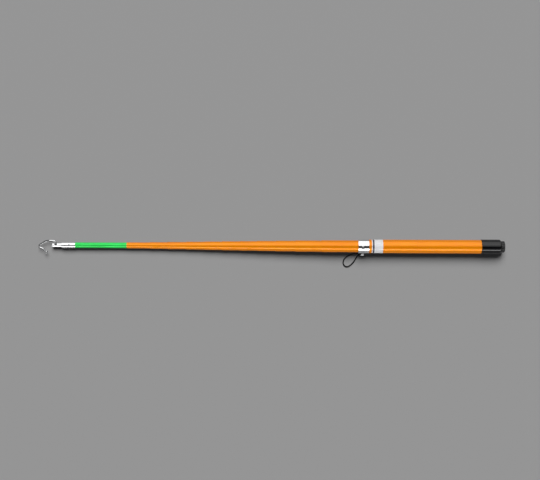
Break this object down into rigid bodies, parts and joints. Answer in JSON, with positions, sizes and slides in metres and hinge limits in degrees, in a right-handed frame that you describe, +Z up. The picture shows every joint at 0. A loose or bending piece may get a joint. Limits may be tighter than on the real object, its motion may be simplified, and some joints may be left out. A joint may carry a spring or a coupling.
{
  "type": "telescopic cable catcher pole",
  "caption": "Telescopic fiberglass pole with a swivel catching hook at its tip, a chromed mouth collar with a cord loop, and a black butt cap with a screw plug.",
  "frame": {"origin": "centre of the butt plug's flat end face, on the pole's axis", "axes": "+X out of the butt along the pole's axis, so the pole runs towards -X; the hook lies in the XY plane; +Z up from the surface on which the pole lies"},
  "size_m": [1.2583, 0.0764, 0.0416],
  "materials": {
    "orange_fiberglass": "glossy wound fiberglass in clear resin",
    "green_fiberglass": "glossy bright green fiberglass",
    "chrome": "polished chrome plate",
    "dark_steel": "blackened steel",
    "black_plastic": "smooth black plastic",
    "rubber": "matt black rubber",
    "cord": "braided black cord",
    "white_film": "plain white film wrapped round the grip"
  },
  "bodies": {
    "grip": {"outer_tube": "orange_fiberglass", "mouth_collar": "chrome", "strap_tab": "chrome", "tab_rivet": "chrome", "end_cap": "black_plastic", "butt_pad": "rubber"},
    "section_01": {"section_01": "orange_fiberglass"},
    "section_02": {"section_02": "orange_fiberglass"},
    "section_03": {"section_03": "orange_fiberglass"},
    "section_04": {"section_04": "orange_fiberglass"},
    "section_05": {"section_05": "orange_fiberglass"},
    "section_06": {"section_06": "orange_fiberglass"},
    "section_07": {"section_07": "orange_fiberglass"},
    "section_08": {"section_08": "orange_fiberglass"},
    "section_09": {"section_09": "orange_fiberglass"},
    "section_10": {"section_10": "orange_fiberglass"},
    "section_11": {"section_11": "orange_fiberglass"},
    "tip": {"tip_section": "green_fiberglass", "tip_ferrule": "chrome", "ferrule_pin": "dark_steel", "ferrule_set_screw": "dark_steel", "hook_holder": "chrome"},
    "hook": {"hook": "chrome", "hook_ball": "chrome"},
    "clamp_screw": {"clamp_screw": "chrome"},
    "plug_seal": {"plug_seal": "rubber"},
    "butt_plug": {"butt_plug": "black_plastic"},
    "strap": {"strap_ring": "chrome", "cord_knot": "cord", "strap_cord": "cord"}
  },
  "joints": [
    {"name": "section_01_slide", "type": "slide", "parent": "grip", "child": "section_01", "axis": [-1, 0, 0], "range_m": [-0.0945, 0.2299]},
    {"name": "section_02_slide", "type": "slide", "parent": "section_01", "child": "section_02", "axis": [-1, 0, 0], "range_m": [-0.0662, 0.2622]},
    {"name": "section_03_slide", "type": "slide", "parent": "section_02", "child": "section_03", "axis": [-1, 0, 0], "range_m": [-0.0487, 0.2837]},
    {"name": "section_04_slide", "type": "slide", "parent": "section_03", "child": "section_04", "axis": [-1, 0, 0], "range_m": [-0.0473, 0.2891]},
    {"name": "section_05_slide", "type": "slide", "parent": "section_04", "child": "section_05", "axis": [-1, 0, 0], "range_m": [-0.0419, 0.2985]},
    {"name": "section_06_slide", "type": "slide", "parent": "section_05", "child": "section_06", "axis": [-1, 0, 0], "range_m": [-0.0446, 0.2998]},
    {"name": "section_07_slide", "type": "slide", "parent": "section_06", "child": "section_07", "axis": [-1, 0, 0], "range_m": [-0.0432, 0.3052]},
    {"name": "section_08_slide", "type": "slide", "parent": "section_07", "child": "section_08", "axis": [-1, 0, 0], "range_m": [-0.0446, 0.3078]},
    {"name": "section_09_slide", "type": "slide", "parent": "section_08", "child": "section_09", "axis": [-1, 0, 0], "range_m": [-0.0473, 0.3091]},
    {"name": "section_10_slide", "type": "slide", "parent": "section_09", "child": "section_10", "axis": [-1, 0, 0], "range_m": [-0.0433, 0.3171]},
    {"name": "section_11_slide", "type": "slide", "parent": "section_10", "child": "section_11", "axis": [-1, 0, 0], "range_m": [-0.0581, 0.3063]},
    {"name": "tip_slide", "type": "slide", "parent": "section_11", "child": "tip", "axis": [-1, 0, 0], "range_m": [-0.135, 0.2334]},
    {"name": "hook_swing", "type": "hinge", "parent": "tip", "child": "hook", "pos_m": [-1.2099, 0, 0], "axis": [0, 1, 0], "range_deg": [-155, 155]},
    {"name": "clamp_screw_turn", "type": "hinge", "parent": "tip", "child": "clamp_screw", "pos_m": [-1.2171, 0, 0], "axis": [-1, 0, 0], "range_deg": [0, 180]},
    {"name": "plug_travel", "type": "slide", "parent": "grip", "child": "plug_seal", "axis": [1, 0, 0], "range_m": [0, 0.0081]},
    {"name": "plug_turn", "type": "hinge", "parent": "plug_seal", "child": "butt_plug", "pos_m": [0, 0, 0], "axis": [1, 0, 0], "range_deg": [0, 1440]},
    {"name": "strap_swing", "type": "hinge", "parent": "grip", "child": "strap", "pos_m": [-0.3821, -0.02251, -0.00316], "axis": [-1, 0, 0], "range_deg": [-12, 110]}
  ],
  "couplings": [
    {"joint": "plug_travel", "follows": "plug_turn", "m_per_rad": 0.00031831}
  ]
}
